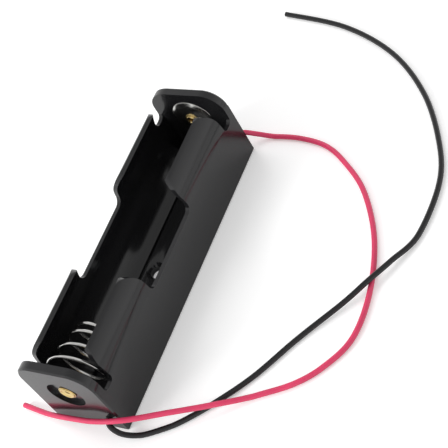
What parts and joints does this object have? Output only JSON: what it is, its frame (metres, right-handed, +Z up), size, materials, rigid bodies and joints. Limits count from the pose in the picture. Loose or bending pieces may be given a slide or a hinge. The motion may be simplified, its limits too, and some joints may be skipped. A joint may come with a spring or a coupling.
{
  "type": "cylindrical cell holder",
  "caption": "Moulded tray that holds one 18650 cell, with a conical spring, a flat disc contact, riveted ends and two wire leads.",
  "frame": {"origin": "centre of the tray's flat underside, leads left out", "axes": "+X across the tray towards the side where the leads leave, +Y along the cell from the spring end to the disc end, +Z up out of the open top"},
  "size_m": [0.0811, 0.1245, 0.0224],
  "materials": {
    "housing": "gloss",
    "nickel": "satin nickel plate",
    "brass": "bright",
    "solder": "satin solder",
    "red_insulation": "semi-gloss PVC",
    "black_insulation": "semi-gloss PVC"
  },
  "bodies": {
    "root": {"housing": "housing", "positive_contact": "nickel", "positive_rivet": "brass", "positive_solder_lug": "nickel", "positive_solder_joint": "solder", "red_lead": "red_insulation", "negative_spring": "nickel", "negative_rivet": "brass", "negative_solder_lug": "nickel", "negative_solder_joint": "solder", "black_lead": "black_insulation"}
  },
  "joints": []
}
